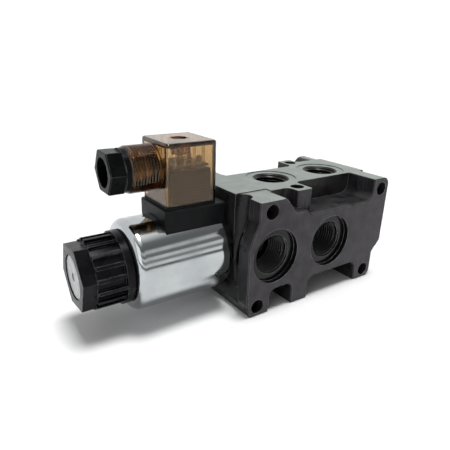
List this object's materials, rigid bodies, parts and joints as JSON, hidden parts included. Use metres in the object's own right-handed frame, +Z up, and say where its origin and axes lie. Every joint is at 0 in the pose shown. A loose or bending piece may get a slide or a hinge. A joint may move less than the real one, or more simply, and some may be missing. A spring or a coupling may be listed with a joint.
{
  "type": "solenoid directional valve",
  "caption": "Solenoid selector valve: black cast body with threaded ports on front, back and top, a bright coil on a tube, ribbed nut and an amber plug connector with cable gland.",
  "frame": {"origin": "on the foot plane, under the centre of the cast body's middle foot", "axes": "+X along the spool from the solenoid to the end plug, +Z up out of the top ports, -Y out of the front ports"},
  "size_m": [0.1977, 0.074, 0.0958],
  "materials": {
    "cast_black": "phosphated and oiled grey iron, satin black",
    "plug_steel": "black oxide steel",
    "core_steel": "turned steel",
    "spring_steel": "wound spring wire",
    "disc_steel": "faced and bead-blasted stainless steel",
    "can_chrome": "bright zinc plated drawn steel",
    "copper_winding": "enamelled copper wire",
    "black_pa": "glass-filled polyamide, moulded",
    "grey_pa": "moulded polyamide, grey-brown",
    "amber_pc": "transparent amber polycarbonate",
    "black_rubber": "moulded nitrile rubber",
    "terminal_brass": "nickel-plated brass",
    "screw_steel": "zinc-plated steel",
    "board_green": "glass-epoxy board",
    "lamp_red": "clear red epoxy"
  },
  "bodies": {
    "valve_block": {"valve_body": "cast_black", "end_plug": "plug_steel", "end_plug_o_ring": "black_rubber", "return_spring": "spring_steel", "armature_tube": "core_steel", "tube_o_ring": "black_rubber", "pole_piece": "core_steel", "end_stop": "disc_steel", "override_o_ring": "black_rubber", "coil_base_o_ring": "black_rubber"},
    "spool_set": {"spool": "core_steel", "spring_seat": "core_steel"},
    "armature_set": {"armature": "core_steel", "push_pin": "core_steel"},
    "override_button": {"override_pin": "disc_steel"},
    "coil": {"coil_can": "can_chrome", "coil_front_plate": "core_steel", "coil_rear_plate": "core_steel", "coil_bobbin": "black_pa", "coil_winding": "copper_winding", "terminal_base": "black_pa", "screw_insert": "terminal_brass", "terminal_blades": "terminal_brass"},
    "coil_nut_set": {"coil_nut": "black_pa", "nut_o_ring": "black_rubber"},
    "connector": {"connector_gasket": "black_rubber", "connector_housing": "amber_pc", "terminal_block": "grey_pa", "terminal_clamps": "terminal_brass", "terminal_screws": "screw_steel", "indicator_board": "board_green", "indicator_lamps": "lamp_red", "screw_washer": "screw_steel", "gland_washer": "screw_steel", "gland_seal": "black_rubber"},
    "connector_screw": {"fixing_screw": "screw_steel"},
    "gland": {"gland_nut": "black_pa"}
  },
  "joints": [
    {"name": "spool_slide", "type": "slide", "parent": "valve_block", "child": "spool_set", "axis": [1, 0, 0], "range_m": [0, 0.004], "stiffness_N_per_m": 1500, "springref_m": -0.004, "deforming": ["return_spring"]},
    {"name": "armature_slide", "type": "slide", "parent": "valve_block", "child": "armature_set", "axis": [1, 0, 0], "range_m": [0, 0.004]},
    {"name": "override_slide", "type": "slide", "parent": "valve_block", "child": "override_button", "axis": [1, 0, 0], "range_m": [0, 0.004]},
    {"name": "coil_turn", "type": "hinge", "parent": "valve_block", "child": "coil", "pos_m": [-0.066, 0, 0.032], "axis": [1, 0, 0], "continuous": true},
    {"name": "coil_nut_turn", "type": "hinge", "parent": "valve_block", "child": "coil_nut_set", "pos_m": [-0.106, 0, 0.032], "axis": [1, 0, 0], "continuous": true},
    {"name": "connector_pull", "type": "slide", "parent": "coil", "child": "connector", "axis": [0, 0, 1], "range_m": [0, 0.016]},
    {"name": "fixing_screw_turn", "type": "hinge", "parent": "connector", "child": "connector_screw", "pos_m": [-0.0597, 0, 0.08], "axis": [0, 0, 1], "continuous": true},
    {"name": "gland_nut_turn", "type": "hinge", "parent": "connector", "child": "gland", "pos_m": [-0.096, 0, 0.0823], "axis": [1, 0, 0], "continuous": true}
  ],
  "couplings": [
    {"joint": "armature_slide", "follows": "spool_slide", "ratio": 1},
    {"joint": "override_slide", "follows": "spool_slide", "ratio": 1}
  ]
}
